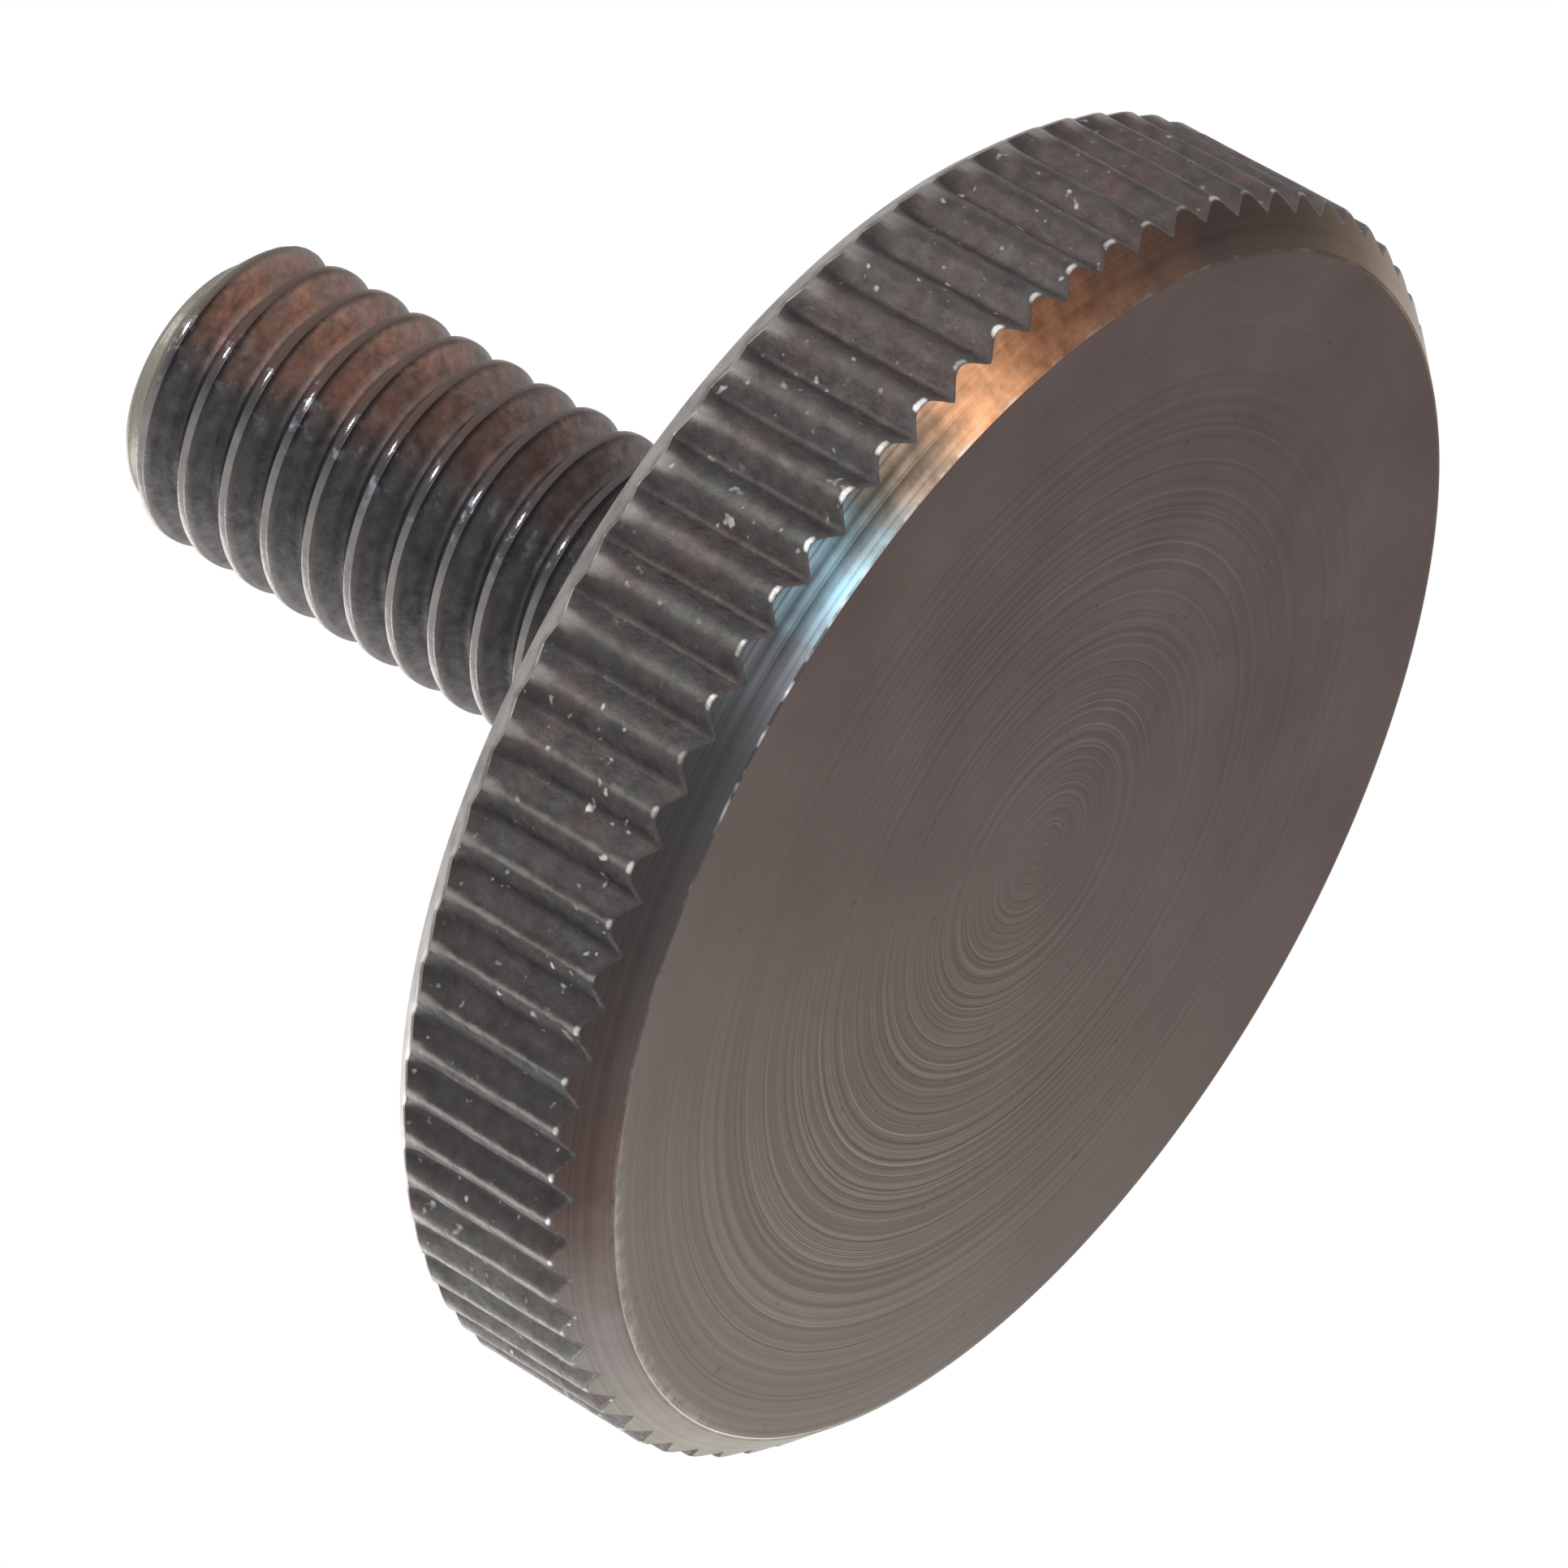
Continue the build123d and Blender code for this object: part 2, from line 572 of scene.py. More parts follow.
    def tip_patch(self, coarse: Array) -> Patch:
        """The flat end with its rounded edge, in to the axis."""
        end_radius = self.thread_radius - self.chamfer
        edge_radii = end_radius + self.tip_edge * np.array(self.tip_out_shares)
        edge_heights = self.top - self.tip_edge * np.array(self.tip_down_shares)
        radii = np.concatenate([edge_radii, self.tip_radii])
        heights = np.concatenate([edge_heights, [self.top] * len(self.tip_radii)])
        return round_rows(radii, heights, coarse, [Zone.TIP] * (len(radii) - 1))

    def build(self, inner_ring: float, coarse: Array) -> list[Patch]:
        """Builds the skin from the head's back to the middle of the tip.

        Args:
            inner_ring: Radius where the head's back ends.
            coarse: Angles of the columns.

        Returns:
            The patches.
        """
        return [self.neck_patch(inner_ring, coarse), self.thread_patch(coarse), self.tip_patch(coarse)]


@dataclass(frozen=True)
class Fade:
    """A change from one level to another while a measure goes from start to end."""

    start: float
    end: float
    first: float = 0.0
    last: float = 1.0


@dataclass(frozen=True)
class Side:
    """A stretch round the axis: its middle, as a share of a turn from -X, and its strength.

    The strength is inside as far as core from the middle, and outside from reach on.
    """

    middle: float
    core: float
    reach: float
    inside: float = 1.0
    outside: float = 0.0


@dataclass(frozen=True)
class Grain:
    """A cloudy noise in space: cycles a millimetre, octaves of detail, and how rough they are."""

    scale: float
    detail: float = 3.0
    roughness: float = 0.55


@dataclass(frozen=True)
class Lines:
    """A noise along one measure only, which makes lines across it: cycles a millimetre, and octaves."""

    scale: float
    detail: float = 2.0


@dataclass(frozen=True)
class Tint:
    """A linear colour at a place round the head, as a share of a turn from -X."""

    share: float
    red: float
    green: float
    blue: float


def colour(red: float, green: float, blue: float) -> Colour:
    """A linear colour with full cover."""
    return (red, green, blue, 1.0)


class Graph:
    """The node tree of a material or a world, with short calls for the nodes that the finishes share."""

    def __init__(self, owner: bpy.types.Material | bpy.types.World) -> None:
        """Starts with an empty tree."""
        owner.use_nodes = True
        self.owner = owner
        self.tree = owner.node_tree
        self.tree.nodes.clear()

    def node(self, kind: str, feeds: dict[str | int, Feed], **settings: object) -> bpy.types.Node:
        """Adds a node.

        Args:
            kind: Its type.
            feeds: What goes into its sockets, by name or number.
            settings: Its other properties.

        Returns:
            The node.
        """
        made = self.tree.nodes.new(kind)
        for key, value in settings.items():
            setattr(made, key, value)
        for key, feed in feeds.items():
            if isinstance(feed, bpy.types.NodeSocket):
                self.tree.links.new(feed, made.inputs[key])
            else:
                made.inputs[key].default_value = feed
        return made

    def math(self, operation: str, first: Feed, second: Feed = 0.0, third: Feed = 0.0) -> Socket:
        """One sum of up to three numbers."""
        feeds = {0: first, 1: second, 2: third}
        return self.node("ShaderNodeMath", feeds, operation=operation).outputs[0]

    def plus(self, value: Feed, other: Feed, amount: Feed = 1.0) -> Socket:
        """A value plus another one times an amount."""
        return self.math("MULTIPLY_ADD", other, amount, value)

    def product(self, first: Feed, *others: Feed) -> Socket:
        """Numbers multiplied together."""
        for other in others:
            first = self.math("MULTIPLY", first, other)
        return first

    def fade(self, value: Feed, fade: Fade) -> Socket:
        """A fade's level at a value, held at both ends."""
        feeds = {0: value, 1: fade.start, 2: fade.end, 3: fade.first, 4: fade.last}
        return self.node("ShaderNodeMapRange", feeds).outputs[0]

    def near(self, share: Socket, side: Side) -> Socket:
        """A side's strength at a share of a turn, by the distance to its middle the shorter way round."""
        turned = self.math("FRACT", self.math("ADD", share, HALF_TURN_SHARE - side.middle))
        away = self.math("ABSOLUTE", self.math("SUBTRACT", turned, HALF_TURN_SHARE))
        return self.fade(away, Fade(side.core, side.reach, side.inside, side.outside))

    def place(self) -> Socket:
        """The place on the object in mm."""
        here = self.node("ShaderNodeTexCoord", {}).outputs["Object"]
        return self.node("ShaderNodeVectorMath", {0: here, "Scale": 1 / MM}, operation="SCALE").outputs[0]

    def parts(self, place: Socket) -> tuple[Socket, Socket, Socket]:
        """A place along X, Y and Z."""
        across, along, height = self.node("ShaderNodeSeparateXYZ", {0: place}).outputs
        return across, along, height

    def polar(self, place: Socket) -> tuple[Socket, Socket, Socket]:
        """Radius in mm, angle as a share of a turn from -X, and height in mm."""
        across, along, height = self.parts(place)
        squares = self.plus(self.product(along, along), across, across)
        share = self.plus(HALF_TURN_SHARE, self.math("ARCTAN2", along, across), 1 / TURN)
        return self.math("SQRT", squares), share, height

    def attribute(self, name: str) -> Socket:
        """A wear value of the mesh."""
        return self.node("ShaderNodeAttribute", {}, attribute_name=name).outputs["Fac"]

    def noise(self, place: Socket, grain: Grain) -> Socket:
        """Cloudy noise at a place."""
        feeds = {"Vector": place, "Scale": grain.scale, "Detail": grain.detail, "Roughness": grain.roughness}
        return self.node("ShaderNodeTexNoise", feeds).outputs["Fac"]

    def lines(self, along: Socket, lines: Lines) -> Socket:
        """Lines across a measure."""
        feeds = {"W": along, "Scale": lines.scale, "Detail": lines.detail}
        return self.node("ShaderNodeTexNoise", feeds, noise_dimensions="1D").outputs["Fac"]

    def mix(self, share: Feed, first: Feed, second: Feed, blend: str = "MIX") -> Socket:
        """Two colours mixed."""
        feeds = {0: share, 6: first, 7: second}
        return self.node("ShaderNodeMix", feeds, data_type="RGBA", blend_type=blend).outputs[2]

    def tone(self, base: Feed, factor: Feed, share: Feed = 1.0) -> Socket:
        """A colour multiplied by a factor, in full or in part."""
        return self.mix(share, base, factor, "MULTIPLY")

    def ramp(self, share: Socket, tints: tuple[Tint, ...]) -> Socket:
        """A row of colours along a share."""
        made = self.node("ShaderNodeValToRGB", {0: share})
        elements = made.color_ramp.elements
        elements[0].position, elements[1].position = tints[0].share, tints[-1].share
        for tint in tints[1:-1]:
            elements.new(tint.share)
        for element, tint in zip(elements, tints):
            element.color = colour(tint.red, tint.green, tint.blue)
        return made.outputs[0]

    def bump(self, height: Socket, depth: float) -> Socket:
        """A bump of the given depth in mm."""
        feeds = {"Height": height, "Distance": depth * MM, "Strength": 1.0}
        return self.node("ShaderNodeBump", feeds).outputs[0]

    def finish(self, feeds: dict[str | int, Feed]) -> bpy.types.Material:
        """Ends a material's tree in one surface shader."""
        shader = self.node("ShaderNodeBsdfPrincipled", feeds)
        self.node("ShaderNodeOutputMaterial", {0: shader.outputs[0]})
        return self.owner


@dataclass(frozen=True)
class TurnedFace:
    """Dull oxide on the faced end: brownish grey with fine rings from the tool's feed, and painted light that
    makes its -X side greyer and lighter.
    """

    name: str = "turned_face"
    dark: Colour = colour(0.060, 0.042, 0.038)
    pale: Colour = colour(0.086, 0.065, 0.059)
    grey: Colour = colour(0.077, 0.070, 0.060)
    pit: Colour = colour(0.030, 0.025, 0.022)
    pale_edge: Colour = colour(0.160, 0.145, 0.127)
    glance: Colour = colour(0.80, 0.75, 0.74)
    metallic: float = 1.0
    roughness: Fade = Fade(0.7, 1.3, 0.30, 0.40)

    # Rings: how far they sway, the feed between them, where they fade by radius, and their depth
    sway_grain: Grain = Grain(0.35)
    sway: float = 0.06
    feed: float = 0.17
    feed_detail: float = 3.0
    feed_fade: Fade = Fade(8.6, 11.2, 1.0, 0.3)
    feed_depth: float = 0.011
    broad_rings: Lines = Lines(0.9, 1.0)

    # Oxide: clouds and rings by their shares, with small pits; greyer and lighter towards -X, which is
    # painted light
    cloud_grain: Grain = Grain(0.28, 4.0)
    cloud_share: float = 0.8
    ring_share: float = 0.35
    shade: Fade = Fade(0.42, 0.74)
    lit_side_fade: Fade = Fade(3.0, -9.0, 0.0, 0.8)
    pit_grain: Grain = Grain(2.6, 1.0)
    pits: Fade = Fade(0.74, 0.79, 0.0, 0.6)

    # A pale, speckled edge on one side, by radius
    pale_side: Side = Side(0.07, 0.04, 0.09)
    pale_rim: Fade = Fade(11.40, 11.60)
    speckle_grain: Grain = Grain(2.6)
    speckle: Fade = Fade(0.40, 0.60, 0.2, 1.0)

    def material(self) -> bpy.types.Material:
        """Rings in colour, gloss and bump, clouds of oxide, painted light on the -X side, a few small pits
        and a speckled edge.
        """
        graph = Graph(bpy.data.materials.new(self.name))
        place = graph.place()
        radius, share, _ = graph.polar(place)
        drawn = graph.plus(radius, graph.noise(place, self.sway_grain), self.sway)
        feed = graph.lines(drawn, Lines(1 / self.feed, self.feed_detail))
        feed = graph.math("SUBTRACT", feed, NOISE_MIDDLE)
        rings = graph.plus(NOISE_MIDDLE, feed, graph.fade(radius, self.feed_fade))
        clouds = graph.product(graph.noise(place, self.cloud_grain), self.cloud_share)
        shade = graph.plus(clouds, rings, self.ring_share)
        base = graph.mix(graph.fade(shade, self.shade), self.dark, self.pale)
        across, _, _ = graph.parts(place)
        # Painted light: the -X side of the face greyer and lighter, as where the light falls
        base = graph.mix(graph.fade(across, self.lit_side_fade), base, self.grey)
        base = graph.mix(graph.fade(graph.noise(place, self.pit_grain), self.pits), base, self.pit)
        speckle = graph.fade(graph.noise(place, self.speckle_grain), self.speckle)
        edge = graph.product(graph.near(share, self.pale_side), graph.fade(radius, self.pale_rim), speckle)
        base = graph.mix(edge, base, self.pale_edge)
        gloss = graph.plus(graph.lines(drawn, self.broad_rings), rings)
        return graph.finish({
            "Base Color": base,
            "Metallic": self.metallic,
            "Roughness": graph.fade(gloss, self.roughness),
            "Normal": graph.bump(rings, self.feed_depth),
            "Specular Tint": self.glance,
        })


# Where round the head the bevel flashes, as a share of a turn from -X
SPARK = 0.292


@dataclass(frozen=True)
class BrightBevel:
    """The face's bevel, cut bright, tinted round the head partly by heat and thin oxide and partly by painted
    reflections, with a painted highlight by the flash.
    """

    name: str = "bright_bevel"
    even: Colour = colour(1.2, 1.2, 1.2)
    cut_shadow: Colour = colour(0.5, 0.5, 0.5)
    spark_highlight: Colour = colour(0.90, 0.92, 0.94)
    painted_edge_shade: Colour = colour(0.10, 0.09, 0.08)
    glance: Colour = colour(0.70, 0.66, 0.62)
    metallic: float = 1.0
    roughness: Fade = Fade(0.0, 0.6, 0.24, 0.55)

    # Tints from pale steel over brown to black, then blue, straw and orange, and back over black and brown:
    # partly heat tint and oxide, partly painted reflections, with a painted blue-white highlight by the flash
    tints: tuple[Tint, ...] = (
        Tint(0.000, 0.430, 0.415, 0.365),
        Tint(0.060, 0.260, 0.235, 0.222),
        Tint(0.125, 0.090, 0.061, 0.054),
        Tint(0.190, 0.056, 0.048, 0.046),
        Tint(0.268, 0.048, 0.048, 0.051),
        Tint(0.293, 0.170, 0.250, 0.290),
        Tint(0.306, 0.220, 0.195, 0.165),
        Tint(0.320, 0.340, 0.230, 0.160),
        Tint(0.340, 0.840, 0.420, 0.220),
        Tint(0.360, 0.210, 0.096, 0.052),
        Tint(0.400, 0.094, 0.053, 0.038),
        Tint(0.430, 0.050, 0.036, 0.033),
        Tint(0.470, 0.050, 0.036, 0.032),
        Tint(0.500, 0.085, 0.056, 0.038),
        Tint(0.530, 0.180, 0.123, 0.074),
        Tint(0.620, 0.120, 0.095, 0.080),
        Tint(0.760, 0.160, 0.120, 0.090),
        Tint(0.880, 0.080, 0.070, 0.066),
        Tint(1.000, 0.430, 0.415, 0.365),
    )
    blur_grain: Grain = Grain(0.9)
    blur: float = 0.03

    # Painted highlight: brightness falls up the bevel, by height, gently all round, strongly by the flash,
    # and not on the even side
    streak_lines: Lines = Lines(5.0)
    streak: float = 0.3
    gentle_highlight_fall: Fade = Fade(0.27, 0.42, 1.5, 1.05)
    strong_highlight_fall: Fade = Fade(0.28, 0.44, 1.75, 0.68)
    strong_side: Side = Side(SPARK, 0.015, 0.035)
    even_side: Side = Side(0.01, 0.07, 0.12)

    # Lines of the cut, fine all round, and bolder by the flash, where they streak the painted highlight
    cut_lines: Lines = Lines(14.0, 3.0)
    cut_shade: Fade = Fade(0.35, 0.65, 0.0, 0.35)
    cut_depth: float = 0.0015
    bold_lines: Lines = Lines(11.0)
    bold_shade: Fade = Fade(0.38, 0.62, 0.60, 1.40)
    streak_highlight_side: Side = Side(SPARK, 0.02, 0.05)

    # Mottle over the orange patch, which is partly heat tint and partly painted reflection
    orange_patch_side: Side = Side(0.345, 0.03, 0.07, 1.0, 0.12)
    mottle_grain: Grain = Grain(2.2, 4.0, 0.6)
    mottle: Fade = Fade(0.3, 0.7, 0.65, 1.35)

    # The rounded edge: painted highlight sparks by the flash, and painted shade, dull and dark, away from it
    spark_side: Side = Side(SPARK, 0.035, 0.075, 1.0, 0.12)
    spark_grain: Grain = Grain(2.2, 2.0)
    sparks: Fade = Fade(0.46, 0.66)
    dull_side: Side = Side(SPARK, 0.05, 0.12, 0.0, 1.0)
    dull_share: float = 0.5

    def material(self) -> bpy.types.Material:
        """Tints along the angle, partly painted reflection, blurred by noise, with a painted highlight
        falling up the bevel, turning lines along it and an edge with painted sparks and painted shade.
        """
        graph = Graph(bpy.data.materials.new(self.name))
        place = graph.place()
        _, share, height = graph.polar(place)
        blur = graph.plus(-self.blur / 2, graph.noise(place, self.blur_grain), self.blur)
        # Painted reflection in part: the tints round the head stand in for what the bevel mirrors, as well as
        # heat tint and oxide
        base = graph.ramp(graph.math("ADD", share, blur), self.tints)

        # Painted highlight: the bevel brightest next to the face, falling up towards the teeth
        streak = graph.plus(height, graph.lines(height, self.streak_lines), self.streak)
        gentle, strong = graph.fade(streak, self.gentle_highlight_fall), graph.fade(streak, self.strong_highlight_fall)
        fall = graph.mix(graph.near(share, self.strong_side), gentle, strong)
        fall = graph.mix(graph.near(share, self.even_side), fall, self.even)
        base = graph.tone(base, fall)

        # Painted highlight streaks: bolder lines only by the flash
        bold = graph.fade(graph.lines(height, self.bold_lines), self.bold_shade)
        base = graph.tone(base, bold, graph.near(share, self.streak_highlight_side))
        # Mottle over the orange patch, partly heat tint and partly painted reflection
        mottle = graph.fade(graph.noise(place, self.mottle_grain), self.mottle)
        base = graph.tone(base, mottle, graph.near(share, self.orange_patch_side))
        cut = graph.lines(height, self.cut_lines)
        base = graph.tone(base, self.cut_shadow, graph.fade(cut, self.cut_shade))

        # Painted highlight: white sparks on the edge by the flash
        edge = graph.attribute("edge")
        sparks = graph.fade(graph.noise(place, self.spark_grain), self.sparks)
        base = graph.mix(graph.product(edge, graph.near(share, self.spark_side), sparks), base, self.spark_highlight)
        # Painted shade: the edge darker away from the flash
        dull = graph.product(edge, graph.near(share, self.dull_side))
        base = graph.mix(graph.product(dull, self.dull_share), base, self.painted_edge_shade)
        return graph.finish({
            "Base Color": base,
            "Metallic": self.metallic,
            "Roughness": graph.fade(dull, self.roughness),
            "Normal": graph.bump(cut, self.cut_depth),
            "Specular Tint": self.glance,
        })


@dataclass(frozen=True)
class WornKnurl:
    """Black oxide in the grooves of the knurl, worn to grey steel along its crests, with painted light and
    shade on one side, painted glints at the teeth's corners and a painted highlight at the back.
    """

    name: str = "worn_knurl"
    groove: Colour = colour(0.082, 0.072, 0.071)
    low_groove: Colour = colour(0.054, 0.047, 0.048)
    crest: Colour = colour(0.215, 0.194, 0.185)
    dim_crest: Colour = colour(0.118, 0.107, 0.103)
    groove_painted_light: Colour = colour(0.098, 0.076, 0.073)
    crest_painted_shade: Colour = colour(0.048, 0.037, 0.035)
    pale: Colour = colour(0.205, 0.188, 0.174)
    warm: Colour = colour(1.09, 0.97, 0.955)
    cool: Colour = colour(0.93, 1.015, 0.995)
    ridge: Colour = colour(0.285, 0.262, 0.245)
    dark_end: Colour = colour(0.030, 0.027, 0.027)
    flare_highlight: Colour = colour(0.300, 0.275, 0.258)
    # Bright steel: painted glints on the teeth's corners, and real nicks
    bright: Colour = colour(0.92, 0.90, 0.87)
    metallic: float = 0.7
    roughness: Fade = Fade(0.3, 0.7, 0.46, 0.60)
    bright_roughness: float = 0.22
    dent_grain: Grain = Grain(3.2, 4.0, 0.6)
    dent_depth: float = 0.05

    # Wear: how far noise raises the crest value, how far the low side drops it, and where steel shows
    wear_grain: Grain = Grain(2.3, 5.0, 0.65)
    wear_rise: float = 0.45
    low_drop: float = 0.12
    worn: Fade = Fade(0.90, 1.14)

    # Sides that are darker, rubbed, pale or dull; on the dull side the grooves are painted light and the
    # crests painted shade, to even out the relief
    low_side: Side = Side(0.10, 0.08, 0.17)
    rubbed_side: Side = Side(0.02, 0.03, 0.13)
    pale_side: Side = Side(0.05, 0.03, 0.065, 0.5, 0.0)
    dull_side: Side = Side(0.50, 0.07, 0.19, 0.95, 0.0)

    # Mottle in level and in tint
    mottle_grain: Grain = Grain(2.8, 4.0, 0.65)
    mottle: Fade = Fade(0.3, 0.7, 0.7, 1.3)
    tint_grain: Grain = Grain(1.1, 4.0)
    tint: Fade = Fade(0.35, 0.65)

    # Thin pale lines along the crests of the low side
    ridge_grain: Grain = Grain(2.9, 4.0, 0.65)
    ridge_rise: float = 0.50
    ridges: Fade = Fade(1.12, 1.26, 0.0, 0.75)

    # The end at the back, by height: dark in the grooves, and a painted highlight flaring along the crests
    dusk_height: Fade = Fade(3.35, 3.85)
    dusk_groove: Fade = Fade(0.25, 0.60, 0.65, 0.0)
    flare_height: Fade = Fade(3.45, 3.90)
    flare_crest: Fade = Fade(0.80, 1.02, 0.0, 0.75)

    # Painted glints: bright corners of the teeth at the bevel, on two sides
    glint_corner_side: Side = Side(0.30, 0.05, 0.10, 1.0, 0.35)
    foot_side: Side = Side(0.0, 0.03, 0.07, 0.6, 0.0)
    corner_grain: Grain = Grain(1.3)
    corner_noise: Fade = Fade(0.36, 0.58, 0.25, 1.0)
    corner_crest: Fade = Fade(0.85, 1.04)
    corners: Fade = Fade(0.08, 0.65)

    # Bright nicks, in clusters
    nick_grain: Grain = Grain(4.2, 1.0, 0.6)
    nicks: Fade = Fade(0.69, 0.79)
    cluster_grain: Grain = Grain(0.7, 1.0)
    clusters: Fade = Fade(0.40, 0.58, 0.10, 0.60)

    def worn_steel(self, graph: Graph, place: Socket, share: Socket, worn: Socket, low: Socket) -> Socket:
        """Oxide and steel by their wear, with the sides' colours, painted light and shade on the dull side,
        and a mottle over all.

        Args:
            graph: The material's tree.
            place: Place in mm.
            share: Angle as a share of a turn.
            worn: How bare the steel is.
            low: Strength of the low side.

        Returns:
            The colour.
        """
        steel = graph.mix(graph.near(share, self.rubbed_side), self.dim_crest, self.crest)
        base = graph.mix(worn, graph.mix(low, self.groove, self.low_groove), steel)
        base = graph.mix(graph.near(share, self.pale_side), base, self.pale)
        # Painted light and shade on the dull side: lighter grooves and darker crests even out the relief's
        # shading
        dull = graph.mix(worn, self.groove_painted_light, self.crest_painted_shade)
        base = graph.mix(graph.near(share, self.dull_side), base, dull)
        base = graph.tone(base, graph.fade(graph.noise(place, self.mottle_grain), self.mottle))
        tint = graph.fade(graph.noise(place, self.tint_grain), self.tint)
        return graph.tone(base, graph.mix(tint, self.warm, self.cool))

    def corner_strength(self, graph: Graph, place: Socket, share: Socket, level: Socket) -> Socket:
        """How strong a tooth's painted corner glint is: the edge value, by side, noise and wear level.

        Args:
            graph: The material's tree.
            place: Place in mm.
            share: Angle as a share of a turn.
            level: Wear level.

        Returns:
            The strength.
        """
        lit = graph.math("MAXIMUM", graph.near(share, self.glint_corner_side), graph.near(share, self.foot_side))
        some = graph.fade(graph.noise(place, self.corner_grain), self.corner_noise)
        proud = graph.fade(level, self.corner_crest)
        return graph.fade(graph.product(graph.attribute("edge"), some, lit, proud), self.corners)

    def material(self) -> bpy.types.Material:
        """The crest value, broken up by noise, mixes oxide and steel; lines, a painted highlight at the back,
        corners with painted glints and nicks lie on top.
        """
        graph = Graph(bpy.data.materials.new(self.name))
        place = graph.place()
        crest = graph.attribute("crest")
        _, share, height = graph.polar(place)
        broken = graph.noise(place, self.wear_grain)
        low = graph.near(share, self.low_side)
        level = graph.plus(graph.plus(crest, broken, self.wear_rise), low, -self.low_drop)
        base = self.worn_steel(graph, place, share, graph.fade(level, self.worn), low)

        ridge = graph.plus(crest, graph.noise(place, self.ridge_grain), self.ridge_rise)
        base = graph.mix(graph.product(graph.fade(ridge, self.ridges), low), base, self.ridge)
        dusk = graph.product(graph.fade(height, self.dusk_height), graph.fade(crest, self.dusk_groove))
        base = graph.mix(dusk, base, self.dark_end)
        # Painted highlight along the crests near the back edge
        flare_highlight = graph.product(graph.fade(height, self.flare_height), graph.fade(level, self.flare_crest))
        base = graph.mix(flare_highlight, base, self.flare_highlight)

        # Painted glints on the teeth's corners
        corner = self.corner_strength(graph, place, share, level)
        base = graph.mix(corner, base, self.bright)
        nicks = graph.fade(graph.noise(place, self.nick_grain), self.nicks)
        clusters = graph.fade(graph.noise(place, self.cluster_grain), self.clusters)
        base = graph.mix(graph.product(nicks, clusters), base, self.bright)
        rough = graph.fade(broken, self.roughness)
        smoother = graph.math("SUBTRACT", self.bright_roughness, rough)
        return graph.finish({
            "Base Color": base,
            "Metallic": self.metallic,
            "Roughness": graph.plus(rough, corner, smoother),
            "Normal": graph.bump(graph.noise(place, self.dent_grain), self.dent_depth),
        })


@dataclass(frozen=True)
class BlackenedBack:
    """The back of the head, its bevel and the neck: black oxide over coarser turning marks, with pale patches
    on the bevel that are partly painted highlight.
    """

    name: str = "blackened_back"
    dark: Colour = colour(0.050, 0.042, 0.039)
    pale: Colour = colour(0.095, 0.080, 0.073)
    worn: Colour = colour(0.30, 0.27, 0.25)
    metallic: float = 0.7
    roughness: Fade = Fade(0.3, 0.7, 0.34, 0.48)

    # Turning marks and clouds of oxide, by their shares
    rings: Lines = Lines(4.5, 3.0)
    ring_share: float = 0.45
    ring_depth: float = 0.004
    cloud_grain: Grain = Grain(0.4, 4.0)
    cloud_share: float = 0.7
    shade: Fade = Fade(0.4, 0.8)

    # Pale patches on the bevel, by radius: partly worn steel, partly painted highlight
    bevel: Fade = Fade(11.75, 12.0)
    patch_grain: Grain = Grain(1.5, 4.0, 0.65)
    patches: Fade = Fade(0.35, 0.6, 0.35, 1.0)

    def material(self) -> bpy.types.Material:
        """Rings by radius and height, clouds of oxide, and steel showing along the bevel, partly as painted
        highlight.
        """
        graph = Graph(bpy.data.materials.new(self.name))
        place = graph.place()
        radius, _, height = graph.polar(place)
        rings = graph.lines(graph.plus(radius, height), self.rings)
        clouds = graph.product(graph.noise(place, self.cloud_grain), self.cloud_share)
        shade = graph.plus(clouds, rings, self.ring_share)
        base = graph.mix(graph.fade(shade, self.shade), self.dark, self.pale)
        # Partly painted highlight: pale patches along the back bevel
        patches = graph.fade(graph.noise(place, self.patch_grain), self.patches)
        base = graph.mix(graph.product(graph.fade(radius, self.bevel), patches), base, self.worn)
        return graph.finish({
            "Base Color": base,
            "Metallic": self.metallic,
            "Roughness": graph.fade(rings, self.roughness),
            "Normal": graph.bump(rings, self.ring_depth),
        })


# Where round the shank the crests glint, as a share of a turn from -X
GLINT = 0.27


